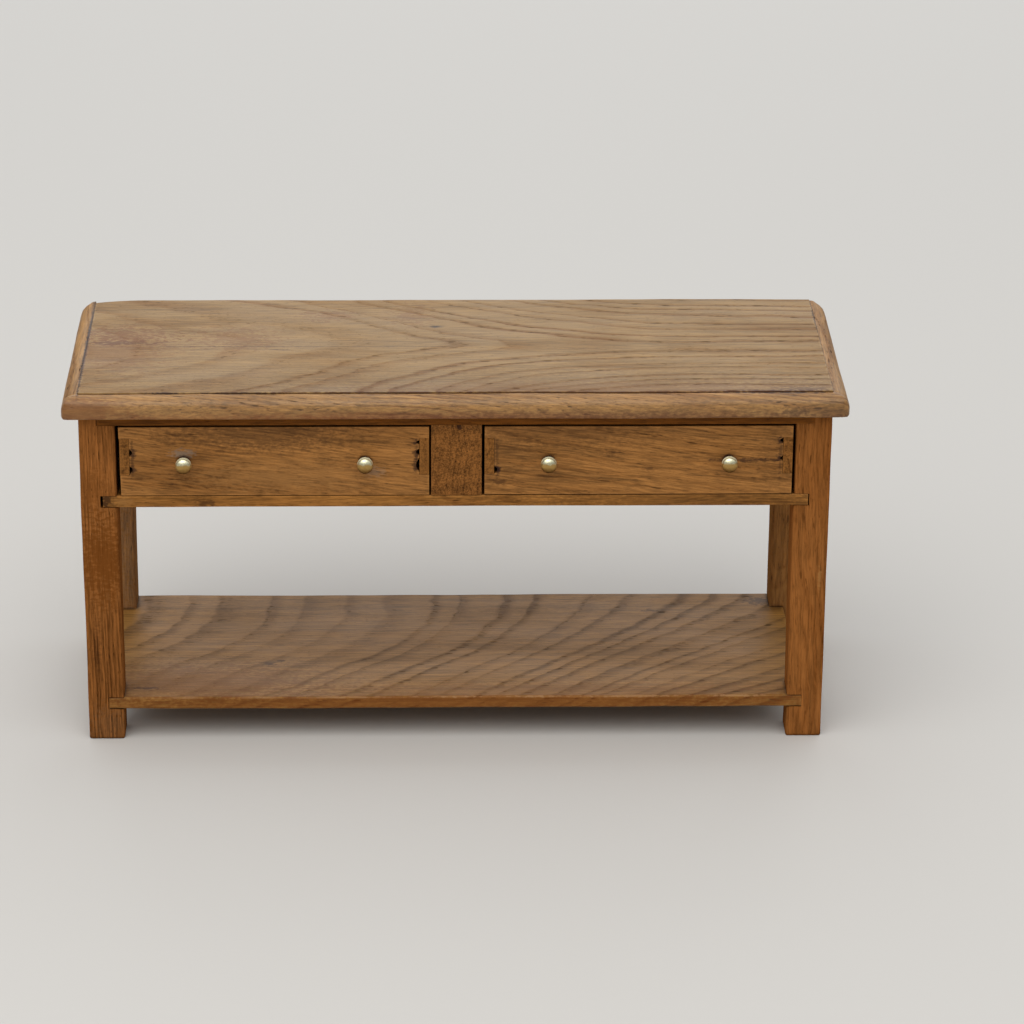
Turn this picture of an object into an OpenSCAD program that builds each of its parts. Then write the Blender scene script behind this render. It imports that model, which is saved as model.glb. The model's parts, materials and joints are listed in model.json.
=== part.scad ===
// Miniature oak serving table at one-twelfth scale, in millimetres.
// +Z is up, the front faces -Y, and the origin is at the centre of the base.
// The frame is four square legs with boards housed in their inner sides. Two drawers run in it,
// and the top is a panel with a thumbnail moulding along its front and two ends.

/* [Top] */
// Width of the top over its two end mouldings
top_w = 162; // [150:1:180]
// Height of the top's upper surface
top_h = 78.5; // [70:0.5:90]
// Thickness of the top panel
top_t = 4.8; // [4:0.1:6]
// How far the top stands out in front of the legs
front_overhang = 2.9; // [2:0.1:3.4]
// How far the top stands out behind the legs
back_overhang = 2.6; // [0:0.1:4]
// Width of the applied moulding
mould_w = 3.3; // [2.8:0.1:4]
// How far the moulding's upper edge lies below the panel
mould_step = 0.3; // [0.2:0.1:0.9]
// Radius of the moulding's crowned upper face
mould_crown_r = 4.4; // [4.4:0.1:8]
// Radius of the moulding's lower edge
mould_foot_r = 0.5; // [0.2:0.1:0.6]

/* [Frame] */
// Depth of the frame over the legs
frame_d = 53.7; // [46:0.1:70]
// Side of a square leg
leg_s = 7.5; // [7:0.1:9]
// Thickness of the rail above the drawers
top_rail_t = 2.3; // [2:0.1:4]
// How far the rail above the drawers is housed in each leg
top_rail_housing = 3.8; // [2:0.1:4]
// Height of the underside of the rail below the drawers
rail_z = 53.2; // [45:0.1:54]
// Thickness of the rail below the drawers, and of the runners
rail_t = 2.55; // [2:0.05:3.5]
// How far the rail below the drawers is housed in each leg
rail_housing = 3; // [2:0.1:3.2]
// Gap left at the end of that rail's housing in the left leg
left_rail_gap = 0.4; // [0:0.1:0.7]
// Gap left at the end of that rail's housing in the right leg
right_rail_gap = 0.2; // [0:0.1:0.7]

/* [Aprons] */
// Thickness of the side and back aprons
apron_t = 3; // [2.4:0.1:3.2]
// How far the aprons are set in from the legs' outer faces
apron_set = 0.8; // [0.3:0.1:1]
// Thickness of the aprons' tenons
tenon_t = 1.4; // [1:0.1:1.6]
// Length of the aprons' tenons
tenon_l = 3; // [2:0.1:3.2]

/* [Shelf] */
// Height of the shelf's underside
shelf_z = 6.8; // [4:0.1:20]
// Thickness of the shelf
shelf_t = 2.75; // [2:0.05:4]
// How far the shelf is housed in each leg
shelf_housing = 3.1; // [2:0.1:4]

/* [Drawers] */
// Width of the block between the drawers
muntin_w = 10.5; // [6:0.1:16]
// Gap at the sides of a drawer, both together
side_gap = 1.1; // [0.4:0.1:2]
// How far the left drawer stands to the right of the middle of its bay
left_drawer_shift = 0.15; // [-0.2:0.05:0.2]
// Gap under a drawer
under_gap = 0.1; // [0.05:0.05:0.2]
// Gap over a drawer's front
over_gap = 0.4; // [0.2:0.1:1]
// Gap behind a drawer when it is shut
behind_gap = 0.9; // [0.5:0.1:4]
// Thickness of a drawer's front
front_t = 3.2; // [2.6:0.1:4]
// Thickness of a drawer's sides
side_t = 2; // [1.8:0.1:2.6]
// How far a drawer's sides stop below the top of its front
side_drop = 0.6; // [0:0.1:1.5]
// Thickness of a drawer's back
back_t = 2.2; // [1.6:0.1:3]
// How far a drawer's back stops below the top of its sides
back_drop = 1; // [0:0.1:2]
// Thickness of a drawer's bottom
bottom_t = 1.2; // [1:0.1:1.6]
// Space left beside a dovetail in its socket
socket_gap = 0.6; // [0.1:0.1:1]

/* [Knobs] */
// Diameter of a knob's ball
knob_d = 3.4; // [2.5:0.1:4.5]
// How far a knob's ball stands off the drawer front
knob_gap = 0.3; // [0.1:0.1:0.8]
// Distance between a drawer's two knobs
knob_spacing = 37.4; // [20:0.1:45]
// Diameter of the pin that the knob is fixed by
knob_pin_d = 1; // [0.8:0.1:1.4]

/* [Hidden] */
$fn = 48;
oak_top = [0.62, 0.47, 0.30];
oak_frame = [0.50, 0.33, 0.17];
oak_shelf = [0.50, 0.40, 0.27];
oak_drawer = [0.55, 0.38, 0.21];
brass = [0.80, 0.66, 0.32];

frame_w = top_w - 2 * mould_w;              // the panel is as wide as the frame
under_top = top_h - top_t;                  // height of the legs
inner_w = frame_w - 2 * leg_s;              // between the legs, side to side
knob_out = knob_gap + knob_d;               // how far the knobs stand out
overall_d = knob_out + frame_d + back_overhang;
face_y = -overall_d / 2 + knob_out;         // the plane of the legs' and drawers' fronts
back_y = face_y + frame_d;                  // the plane of the back legs' backs
panel_y = face_y - front_overhang + mould_w;
panel_d = back_y + back_overhang - panel_y;
mould_h = top_t - mould_step;

top_rail_z = under_top - top_rail_t;
runner_z = rail_z + rail_t;                 // what the drawers slide on
apron_h = under_top - rail_z;
apron_shoulder = (apron_t - tenon_t) / 2;   // thickness left each side of a tenon
tenon_inset = 2;                            // the tenons stop short of the aprons' edges
apron_inner = apron_set + apron_t;          // from a leg's outer face to an apron's inner face
side_apron_l = frame_d - 2 * leg_s;
runner_l = back_y - apron_inner - face_y - leg_s;

runner_lap = 3;                             // how far a runner reaches under a drawer
guide_h = 6;                                // height of the strips that guide a drawer's outer side

bay_w = (inner_w - muntin_w) / 2;
bay_x = (bay_w + muntin_w) / 2;             // from the middle of the table to the middle of a bay
drawer_z = runner_z + under_gap;
drawer_w = bay_w - side_gap;
drawer_d = frame_d - apron_inner - behind_gap;
front_h = top_rail_z - runner_z - under_gap - over_gap;
side_h = front_h - side_drop;
back_h = side_h - back_drop;
groove = 0.9;                               // depth of the grooves for the drawer's bottom
bottom_z = 1.2;                             // height of the drawer's bottom above its lower edge
back_set = 1;                               // from the drawer's back to the ends of its sides
tail_z = 4.5;                               // height of a dovetail's lower edge at the front
tail_h = 8.1;                               // height of a dovetail at the front
tail_flare = 0.7;                           // how much each slope narrows it at its root
knob_z = front_h / 2;
knob_neck_d = 1.6;
knob_hole_d = knob_pin_d + 0.1;
knob_pin_end = 0.6;                         // how far the pin comes through the drawer front
cut = 1;                                    // how far a cutter runs past what it cuts

// A block given by its lowest corner and its size.
module block(corner, size) {
    translate(corner) cube(size);
}

// ---- the top ----

module top_panel() {
    color(oak_top) block([-frame_w / 2, panel_y, under_top], [frame_w, panel_d, top_t]);
}

// The moulding's section: its inner edge on x = 0 and its underside on y = 0. Its upper face is an arc
// that is level at the inner edge and meets the outer face at a corner.
module moulding_section() {
    intersection() {
        union() {
            square([mould_w - mould_foot_r, mould_h]);
            translate([0, mould_foot_r]) square([mould_w, mould_h - mould_foot_r]);
            translate([mould_w - mould_foot_r, mould_foot_r]) circle(mould_foot_r);
        }
        translate([0, mould_h - mould_crown_r]) circle(mould_crown_r);
    }
}

// The moulding run along Y beside the panel's right edge, from one y to another.
module end_run(from_y, to_y) {
    translate([frame_w / 2, to_y, under_top])
        rotate([90, 0, 0]) linear_extrude(to_y - from_y) moulding_section();
}

// The front moulding runs right across, and its ends are shaped to carry the end mouldings on.
module front_moulding() {
    front_y = panel_y - mould_w;
    color(oak_top) intersection() {
        translate([-top_w / 2, panel_y, under_top])
            rotate([90, 0, 90]) linear_extrude(top_w) mirror([1, 0]) moulding_section();
        union() {
            block([-frame_w / 2, front_y - cut, under_top], [frame_w, mould_w + 2 * cut, mould_h]);
            end_run(front_y - cut, panel_y + cut);
            mirror([1, 0, 0]) end_run(front_y - cut, panel_y + cut);
        }
    }
}

module right_moulding() {
    color(oak_top) end_run(panel_y, back_y + back_overhang);
}

module left_moulding() {
    mirror([1, 0, 0]) right_moulding();
}

// ---- the frame ----

// A leg with its outer faces on x = 0 and y = 0, before the joints at its top are cut.
module leg_blank() {
    difference() {
        cube([leg_s, leg_s, under_top]);
        block([leg_s - shelf_housing, -cut, shelf_z], [leg_s, leg_s + 2 * cut, shelf_t]);
        block([apron_set + apron_shoulder, leg_s - tenon_l, rail_z + tenon_inset],
              [tenon_t, tenon_l + cut, apron_h - 2 * tenon_inset]);
    }
}

module front_leg(rail_gap) {
    housing = rail_housing + rail_gap;
    color(oak_frame) difference() {
        leg_blank();
        block([leg_s - housing, -cut, rail_z], [housing + cut, leg_s + 2 * cut, rail_t]);
        block([leg_s - top_rail_housing, -cut, top_rail_z],
              [leg_s, leg_s + 2 * cut, top_rail_t + cut]);
    }
}

module back_leg() {
    color(oak_frame) difference() {
        leg_blank();
        block([leg_s - tenon_l, apron_set + apron_shoulder, rail_z + tenon_inset],
              [tenon_l + cut, tenon_t, apron_h - 2 * tenon_inset]);
    }
}

module front_left_leg() {
    translate([-frame_w / 2, face_y, 0]) front_leg(left_rail_gap);
}

module front_right_leg() {
    translate([frame_w / 2, face_y, 0]) mirror([1, 0, 0]) front_leg(right_rail_gap);
}

module back_left_leg() {
    translate([-frame_w / 2, back_y, 0]) mirror([0, 1, 0]) back_leg();
}

module back_right_leg() {
    mirror([1, 0, 0]) back_left_leg();
}

// A board that spans the legs and is housed in each of them.
module cross_board(housing, depth, z, thickness) {
    length = inner_w + 2 * housing;
    block([-length / 2, face_y, z], [length, depth, thickness]);
}

module top_rail() {
    color(oak_frame) cross_board(top_rail_housing, leg_s, top_rail_z, top_rail_t);
}

module drawer_rail() {
    color(oak_frame) cross_board(rail_housing, leg_s, rail_z, rail_t);
}

module shelf() {
    color(oak_shelf) cross_board(shelf_housing, frame_d, shelf_z, shelf_t);
}

// An apron of a given length along X, from x = 0, with its outer face on y = 0 and a tenon at each end.
module apron(length) {
    block([0, 0, rail_z], [length, apron_t, apron_h]);
    block([-tenon_l, apron_shoulder, rail_z + tenon_inset],
          [length + 2 * tenon_l, tenon_t, apron_h - 2 * tenon_inset]);
}

module left_apron() {
    color(oak_frame) translate([-frame_w / 2 + apron_set, back_y - leg_s, 0])
        rotate([0, 0, -90]) apron(side_apron_l);
}

module right_apron() {
    mirror([1, 0, 0]) left_apron();
}

module back_apron() {
    color(oak_frame) translate([-inner_w / 2, back_y - apron_set, 0])
        mirror([0, 1, 0]) apron(inner_w);
}

// ---- what the drawers run on ----

// The block between the drawers. Its end grain shows at the front, under the top rail,
// and behind that rail it rises to the top.
module centre_guide() {
    length = back_y - apron_inner - face_y;
    color(oak_drawer) {
        block([-muntin_w / 2, face_y, runner_z], [muntin_w, length, top_rail_z - runner_z]);
        block([-muntin_w / 2, face_y + leg_s, runner_z],
              [muntin_w, length - leg_s, under_top - runner_z]);
    }
}

module centre_runner() {
    width = muntin_w + 2 * runner_lap;
    color(oak_drawer) block([-width / 2, face_y + leg_s, rail_z], [width, runner_l, rail_t]);
}

// The runner along the left apron, cut round the back leg.
module left_runner() {
    width = leg_s - apron_inner + runner_lap;
    color(oak_drawer) {
        block([-frame_w / 2 + apron_inner, face_y + leg_s, rail_z], [width, side_apron_l, rail_t]);
        block([-inner_w / 2, face_y + leg_s, rail_z], [runner_lap, runner_l, rail_t]);
    }
}

module right_runner() {
    mirror([1, 0, 0]) left_runner();
}

// The strip that stands on a runner and keeps the drawer's outer side in line with the legs.
module left_guide() {
    color(oak_drawer) block([-frame_w / 2 + apron_inner, face_y + leg_s, runner_z],
                            [leg_s - apron_inner, side_apron_l, guide_h]);
}

module right_guide() {
    mirror([1, 0, 0]) left_guide();
}

// ---- a drawer, with the lower left corner of its front face at the origin ----

// A dovetail's outline, seen from the side: y towards the back and z up.
module tail_outline() {
    polygon([[0, tail_z], [0, tail_z + tail_h],
             [front_t, tail_z + tail_h - tail_flare], [front_t, tail_z + tail_flare]]);
}

// An outline drawn in y and z, given a thickness along X from x = 0.
module across(thickness) {
    rotate([90, 0, 90]) linear_extrude(thickness) children();
}

module drawer_front() {
    socket_w = side_t + socket_gap;
    color(oak_drawer) difference() {
        cube([drawer_w, front_t, front_h]);
        translate([-cut, 0, 0]) across(socket_w + cut) tail_outline();
        translate([drawer_w - socket_w, 0, 0]) across(socket_w + cut) tail_outline();
        block([side_t - groove, front_t - groove, bottom_z],
              [drawer_w - 2 * (side_t - groove), groove + cut, bottom_t]);
        for (side = [-1, 1])
            translate([drawer_w / 2 + side * knob_spacing / 2, -cut, knob_z])
                rotate([-90, 0, 0]) cylinder(d = knob_hole_d, h = front_t + 2 * cut);
    }
}

module drawer_side() {
    housing_y = drawer_d - back_set - back_t;
    color(oak_drawer) difference() {
        union() {
            block([0, front_t, 0], [side_t, drawer_d - front_t, side_h]);
            across(side_t) tail_outline();
        }
        block([side_t - groove, front_t - cut, bottom_z], [groove + cut, drawer_d, bottom_t]);
        block([side_t - groove, housing_y, bottom_z + bottom_t], [groove + cut, back_t, side_h]);
    }
}

module drawer_back() {
    reach = side_t - groove;
    lift = bottom_z + bottom_t;
    color(oak_drawer) block([reach, drawer_d - back_set - back_t, lift],
                            [drawer_w - 2 * reach, back_t, back_h - lift]);
}

module drawer_bottom() {
    reach = side_t - groove;
    color(oak_drawer) block([reach, front_t - groove, bottom_z],
                            [drawer_w - 2 * reach, drawer_d - front_t + groove, bottom_t]);
}

// A turned knob: a ball on a short neck, with the pin that goes through the drawer front.
module knob(side) {
    color(brass) translate([drawer_w / 2 + side * knob_spacing / 2, 0, knob_z])
        rotate([90, 0, 0]) {
            translate([0, 0, knob_gap + knob_d / 2]) sphere(d = knob_d);
            cylinder(d = knob_neck_d, h = knob_gap + knob_d / 2);
            translate([0, 0, -front_t - knob_pin_end])
                cylinder(d = knob_pin_d, h = front_t + knob_pin_end + knob_d / 2);
        }
}

// Puts a drawer's piece in its bay: side is -1 for the left bay and 1 for the right one.
module in_bay(side) {
    shift = side < 0 ? left_drawer_shift : 0;
    translate([side * bay_x - drawer_w / 2 + shift, face_y, drawer_z]) children();
}

module other_side() {
    translate([drawer_w, 0, 0]) mirror([1, 0, 0]) drawer_side();
}

top_panel();
front_moulding();
left_moulding();
right_moulding();
front_left_leg();
front_right_leg();
back_left_leg();
back_right_leg();
top_rail();
drawer_rail();
left_apron();
right_apron();
back_apron();
shelf();
centre_guide();
left_guide();
right_guide();
centre_runner();
left_runner();
right_runner();
in_bay(-1) drawer_front();  // left_drawer_front
in_bay(-1) drawer_side();  // left_drawer_left_side
in_bay(-1) other_side();  // left_drawer_right_side
in_bay(-1) drawer_back();  // left_drawer_back
in_bay(-1) drawer_bottom();  // left_drawer_bottom
in_bay(-1) knob(-1);  // left_drawer_left_knob
in_bay(-1) knob(1);  // left_drawer_right_knob
in_bay(1) drawer_front();  // right_drawer_front
in_bay(1) drawer_side();  // right_drawer_left_side
in_bay(1) other_side();  // right_drawer_right_side
in_bay(1) drawer_back();  // right_drawer_back
in_bay(1) drawer_bottom();  // right_drawer_bottom
in_bay(1) knob(-1);  // right_drawer_left_knob
in_bay(1) knob(1);  // right_drawer_right_knob
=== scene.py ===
"""The looks of a miniature oak serving table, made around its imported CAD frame.

Each board is a copy of its CAD solid with worn arrises and slightly uneven faces, and its oak is one
solid texture of annual rings, pores and rays, turned to suit the board. Distances are in metres, and
those named _mm, and every length in the tables of boards and marks, are in millimetres.
"""
import json
import math

import bmesh
import bpy
from mathutils import Matrix, Vector, noise


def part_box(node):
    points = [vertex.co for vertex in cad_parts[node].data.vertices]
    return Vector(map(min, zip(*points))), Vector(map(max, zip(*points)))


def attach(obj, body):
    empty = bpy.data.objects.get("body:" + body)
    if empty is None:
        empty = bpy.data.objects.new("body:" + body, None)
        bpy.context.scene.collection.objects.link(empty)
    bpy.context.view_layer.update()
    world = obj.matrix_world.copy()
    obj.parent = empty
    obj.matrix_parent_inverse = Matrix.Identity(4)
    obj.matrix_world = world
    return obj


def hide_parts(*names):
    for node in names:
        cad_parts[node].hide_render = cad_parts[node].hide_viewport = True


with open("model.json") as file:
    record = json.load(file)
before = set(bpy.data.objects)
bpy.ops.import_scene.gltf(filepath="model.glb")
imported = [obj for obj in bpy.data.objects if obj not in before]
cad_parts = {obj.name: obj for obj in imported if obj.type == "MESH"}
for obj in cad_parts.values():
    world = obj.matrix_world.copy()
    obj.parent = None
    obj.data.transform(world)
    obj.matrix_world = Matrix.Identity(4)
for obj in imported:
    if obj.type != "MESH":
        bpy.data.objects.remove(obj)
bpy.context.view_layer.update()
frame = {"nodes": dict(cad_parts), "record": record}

MM = 0.001
body_of_node = {n: b for b, nodes in frame["record"]["behaviour"]["bodies"].items() for n in nodes}


def box_mm(node):
    """A CAD node's lowest and highest corners, in millimetres."""
    low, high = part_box(node)
    return low / MM, high / MM


# ---------------------------------------------------------------- node graphs


class Graph:
    """Adds nodes to one tree. An input that is a socket is linked, and any other value is set."""

    def __init__(self, tree):
        self.tree = tree

    def put(self, socket, value):
        if isinstance(value, bpy.types.NodeSocket):
            self.tree.links.new(value, socket)
        elif value is not None:
            socket.default_value = value

    def add(self, kind, inputs, out=0, **settings):
        node = self.tree.nodes.new("ShaderNode" + kind)
        for name, value in settings.items():
            setattr(node, name, value)
        for name, value in inputs.items():
            self.put(node.inputs[name], value)
        return node.outputs[out]

    def math(self, operation, *values):
        return self.add("Math", dict(enumerate(values)), operation=operation)

    def vector(self, operation, *values, out=0):
        return self.add("VectorMath", dict(enumerate(values)), out=out, operation=operation)

    def scaled(self, point, scale):
        return self.vector("MULTIPLY", point, scale)

    def noise(self, point, scale, detail=2.0, out="Fac", roughness=0.55):
        """Noise with features one over scale apart, where scale may differ along x, y and z."""
        inputs = {"Vector": self.scaled(point, scale), "Scale": 1.0, "Detail": detail, "Roughness": roughness}
        return self.add("TexNoise", inputs, out=out)

    def ramp(self, value, start, end, low=0.0, high=1.0):
        """A smooth step from low at start to high at end."""
        inputs = {"Value": value, "From Min": start, "From Max": end, "To Min": low, "To Max": high}
        return self.add("MapRange", inputs, interpolation_type="SMOOTHSTEP")

    def mix(self, factor, first, second, blend="MIX"):
        node = self.tree.nodes.new("ShaderNodeMix")
        node.data_type = "RGBA"
        node.blend_type = blend
        for index, value in ((0, factor), (6, first), (7, second)):
            self.put(node.inputs[index], value)
        return node.outputs[2]

    def spread(self, value):
        """A vector that has the same value in x, y and z."""
        return self.add("CombineXYZ", {"X": value, "Y": value, "Z": value})

    def scale_colour(self, colour, value):
        """A colour with its brightness multiplied by a value."""
        return self.mix(1.0, colour, self.spread(value), "MULTIPLY")

    def swing(self, colour, size):
        """A vector that swings about zero, made from a noise colour."""
        return self.scaled(self.vector("SUBTRACT", colour, (0.5, 0.5, 0.5)), size)


def new_group(name, inputs, outputs):
    """An empty node group with the named sockets, its graph, its input node and its output node."""
    tree = bpy.data.node_groups.new(name, "ShaderNodeTree")
    for socket, kind in inputs:
        tree.interface.new_socket(socket, in_out="INPUT", socket_type="NodeSocket" + kind)
    for socket, kind in outputs:
        tree.interface.new_socket(socket, in_out="OUTPUT", socket_type="NodeSocket" + kind)
    return tree, Graph(tree), tree.nodes.new("NodeGroupInput"), tree.nodes.new("NodeGroupOutput")


def make_oak_group():
    """Solid oak. Point is in millimetres in the log, with x along the pith, and Radius is the distance
    from the pith, which sets the annual rings."""
    tree, g, given, made = new_group(
        "oak",
        [("Point", "Vector"), ("Radius", "Float"), ("Light", "Color"), ("Brown", "Color"),
         ("Dark", "Color"), ("Ring", "Float"), ("Bands", "Float"), ("Pores", "Float"),
         ("Rays", "Float"), ("Wander", "Float"), ("Contrast", "Float")],
        [("Color", "Color"), ("Roughness", "Float"), ("Height", "Float")])
    point = given.outputs["Point"]

    # the rings wander slowly along the log, and each one is a little uneven
    slow = g.ramp(g.noise(point, (0.013, 0.04, 0.04), 1.0), 0.25, 0.75, -5.0, 5.0)
    small = g.ramp(g.noise(point, (0.07, 0.3, 0.3), 2.0), 0.25, 0.75, -0.55, 0.55)
    small = g.math("MULTIPLY", small, g.math("MULTIPLY_ADD", given.outputs["Wander"], 0.7, 0.22))
    radius = g.math("MULTIPLY_ADD", slow, given.outputs["Wander"], given.outputs["Radius"])
    rings = g.math("DIVIDE", g.math("ADD", radius, small), given.outputs["Ring"])
    drift = g.add("TexNoise", {"W": g.math("MULTIPLY", rings, 0.6), "Scale": 1.0, "Detail": 0.0},
                  noise_dimensions="1D")
    rings = g.math("ADD", rings, drift)
    part = g.math("FRACT", rings)
    chance = g.add("TexWhiteNoise", {"W": g.math("FLOOR", rings)}, noise_dimensions="1D")
    early = g.math("MAXIMUM", g.ramp(part, 0.02, 0.50, 1.0, 0.0), g.ramp(part, 0.86, 1.0))
    early = g.math("MULTIPLY", early, g.ramp(chance, 0.0, 1.0, 0.5, 1.0))

    # pores are long thin cells: large ones crowd the early wood, and fine ones are everywhere
    weave = g.swing(g.noise(point, (0.05, 0.2, 0.2), 1.0, "Color"), (0.0, 1.2, 1.2))
    woven = g.vector("ADD", point, weave)

    def pore_mask(scale, least, most, dropped):
        cells = g.add("TexVoronoi", {"Vector": g.scaled(woven, scale), "Scale": 1.0}).node.outputs
        luck = g.add("SeparateColor", {"Color": cells["Color"]}).node.outputs
        size = g.ramp(early, 0.2, 0.85, least, most)
        size = g.math("MULTIPLY", size, g.ramp(luck["Red"], dropped, 1.0, 0.3, 1.25))
        mask = g.ramp(g.math("DIVIDE", cells["Distance"], g.math("MAXIMUM", size, 0.01)), 1.0, 0.4)
        return g.math("MULTIPLY", mask, g.ramp(luck["Green"], 0.0, 1.0, 0.45, 1.0))

    large = pore_mask((0.30, 1.7, 1.7), 0.0, 0.48, 0.25)
    fine = pore_mask((0.50, 3.2, 3.2), 0.18, 0.42, 0.0)
    pores = g.math("MAXIMUM", large, g.math("MULTIPLY", fine, 0.85))
    fibre = g.noise(woven, (0.15, 2.9, 2.9), 4.0, roughness=0.75)
    streak = g.noise(point, (0.014, 0.5, 0.5), 3.0)
    patch = g.noise(point, (0.028, 0.09, 0.09), 3.0)
    faint = g.noise(point, (0.02, 0.05, 0.05), 1.0)

    # rays are thin sheets that stand radially, so they fleck a quarter-sawn face
    across = g.add("SeparateXYZ", {"Vector": point}).node.outputs
    angle = g.math("ARCTAN2", across["Y"], across["Z"])
    ray_point = g.add("CombineXYZ", {
        "X": g.math("MULTIPLY", angle, 42.0), "Y": g.math("MULTIPLY", across["X"], 0.2),
        "Z": g.math("MULTIPLY", radius, 0.2)})
    rays = g.add("TexNoise", {"Vector": ray_point, "Scale": 1.0, "Detail": 2.0})
    rays = g.math("MULTIPLY", g.ramp(rays, 0.46, 0.66), given.outputs["Rays"])

    bands = g.math("MULTIPLY", given.outputs["Bands"], g.ramp(faint, 0.35, 0.65, 0.35, 1.0))
    brown = g.math("MULTIPLY_ADD", early, bands, g.ramp(patch, 0.45, 0.75, 0.0, 0.45))
    wood = g.mix(g.math("MINIMUM", brown, 1.0), given.outputs["Light"], given.outputs["Brown"])
    wood = g.mix(g.math("MINIMUM", g.math("MULTIPLY", rays, 0.6), 0.9), wood,
                 g.scale_colour(given.outputs["Light"], 1.15))
    shade = g.math("ADD", g.ramp(fibre, 0.30, 0.70, -0.34, 0.34), g.ramp(streak, 0.25, 0.75, -0.16, 0.16))
    wood = g.scale_colour(wood, g.math("MULTIPLY_ADD", shade, given.outputs["Contrast"], 1.0))
    wood = g.mix(g.math("MULTIPLY", pores, given.outputs["Pores"]), wood, given.outputs["Dark"])
    g.put(made.inputs["Color"], wood)

    rough = g.math("MULTIPLY_ADD", pores, 0.25, g.ramp(patch, 0.3, 0.7, 0.38, 0.50))
    g.put(made.inputs["Roughness"], g.math("MULTIPLY_ADD", early, 0.08, rough))
    height = g.math("MULTIPLY_ADD", pores, -0.08, g.math("MULTIPLY", early, -0.03))
    g.put(made.inputs["Height"], g.math("MULTIPLY_ADD", fibre, 0.04, height))
    return tree


def make_arris_group():
    """The distance in millimetres from a point on a box to the box's nearest arris."""
    tree, g, given, made = new_group(
        "arris", [("Point", "Vector"), ("Middle", "Vector"), ("Half", "Vector")], [("Distance", "Float")])
    away = g.vector("ABSOLUTE", g.vector("SUBTRACT", given.outputs["Point"], given.outputs["Middle"]))
    inside = g.add("SeparateXYZ", {"Vector": g.vector("SUBTRACT", given.outputs["Half"], away)}).node.outputs
    pairs = [g.math("MAXIMUM", inside[a], inside[b]) for a, b in ((0, 1), (1, 2), (0, 2))]
    g.put(made.inputs["Distance"], g.math("MINIMUM", g.math("MINIMUM", pairs[0], pairs[1]), pairs[2]))
    return tree


OAK = make_oak_group()
ARRIS = make_arris_group()


def use_group(g, tree, inputs):
    node = g.tree.nodes.new("ShaderNodeGroup")
    node.node_tree = tree
    for name, value in inputs.items():
        g.put(node.inputs[name], value)
    return node.outputs


# ---------------------------------------------------------------- oak

# the late wood and the early wood of each kind of board
TONES = {
    "top": ((0.290, 0.168, 0.057), (0.190, 0.082, 0.017)),
    "moulding": ((0.345, 0.175, 0.052), (0.170, 0.064, 0.013)),
    "left_leg": ((0.268, 0.099, 0.025), (0.085, 0.028, 0.006)),
    "right_leg": ((0.292, 0.108, 0.027), (0.185, 0.058, 0.011)),
    "back_leg": ((0.290, 0.128, 0.034), (0.185, 0.072, 0.017)),
    # the top rail's oak is darker and less blue than the rail's: painted shade under the moulding
    "top_rail": ((0.175, 0.057, 0.007), (0.108, 0.032, 0.005)),
    "rail": ((0.330, 0.141, 0.032), (0.185, 0.068, 0.014)),
    "shelf": ((0.305, 0.148, 0.035), (0.150, 0.069, 0.016)),
    "drawer": ((0.345, 0.150, 0.039), (0.195, 0.074, 0.015)),
    "dovetail": ((0.250, 0.102, 0.024), (0.095, 0.034, 0.008)),
    "block": ((0.235, 0.092, 0.022), (0.060, 0.021, 0.005)),
    "inner": ((0.380, 0.230, 0.105), (0.260, 0.145, 0.060)),
}
PORE_SHADE = 0.24                       # what fills the pores, against the early wood

# what marks the wood, from dark to pale
BLACK_WAX_AND_SHADOW = (0.024, 0.009, 0.007, 1.0)  # old wax packed in a joint or a pit, and the painted shadow above each knob
BROWN_STAIN = (0.060, 0.024, 0.008, 1.0)
RED_OAK_AND_SHADE = (0.200, 0.042, 0.002, 1.0)    # an edge whose finish has darkened, and the painted shade along the front moulding's lower edge
ORANGE_OAK = (0.175, 0.054, 0.009, 1.0)
# grey dust, which on faces that look up also stands for their painted sheen
GREY_DUST_AND_SHEEN = (0.19, 0.145, 0.09, 1.0)
BRIGHT_OAK = (0.400, 0.190, 0.058, 1.0)
PALE_WAX_AND_HIGHLIGHT = (0.36, 0.32, 0.26, 1.0)      # dried polish, and the painted highlight along the front moulding's crown
BARE_OAK = (0.560, 0.330, 0.145, 1.0)   # an arris rubbed through the finish

# turns the table's axes to the log's, for a board whose grain runs along the named axis
GRAIN_TURN = {"X": (0, 0, 0), "Y": (0, 0, -90), "Z": (0, 90, 0)}


def turn(degrees):
    return [math.radians(angle) for angle in degrees]


def log_point(g, point, grain, pith, tilt, seed):
    """Turns a point of the table into the log's frame. The pith goes through the point pith, tilted
    by two angles."""
    from_pith = g.vector("SUBTRACT", point, pith)
    turned = g.add("Mapping", {"Vector": from_pith, "Rotation": turn(GRAIN_TURN[grain])})
    tilted = g.add("Mapping", {"Vector": turned, "Rotation": turn((0, *tilt))})
    return g.vector("ADD", tilted, (seed * 137.0, 0.0, 0.0))


def log_radius(g, point, log):
    """The distance from the pith of a straight log."""
    return g.vector("LENGTH", g.scaled(log, (0.0, 1.0, 1.0)), out="Value")


def saddle_radius(g, point, log):
    """The rings of the top's board: arrowheads that open to the left over its left half, and lines
    that draw together towards its right end."""
    x, y, z = g.add("SeparateXYZ", {"Vector": point}).node.outputs
    ring = 2.0
    off_axis = g.math("SUBTRACT", y, 1.5)
    off_axis = g.math("SQRT", g.math("MULTIPLY_ADD", off_axis, off_axis, 12.0))
    crowding = g.ramp(x, -35.0, 50.0, 0.085, 0.31)
    leftwards = g.math("MAXIMUM", g.math("SUBTRACT", 20.0, x), 0.0)
    opening = g.math("DIVIDE", g.math("MULTIPLY", leftwards, leftwards), g.math("ADD", leftwards, 25.0))
    rings = g.math("MULTIPLY_ADD", opening, -0.06, g.math("MULTIPLY", off_axis, crowding))
    depth = g.math("MULTIPLY", g.math("SUBTRACT", TOP_Z, z), 0.25)
    return g.math("MULTIPLY", g.math("ADD", rings, depth), ring)


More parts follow.
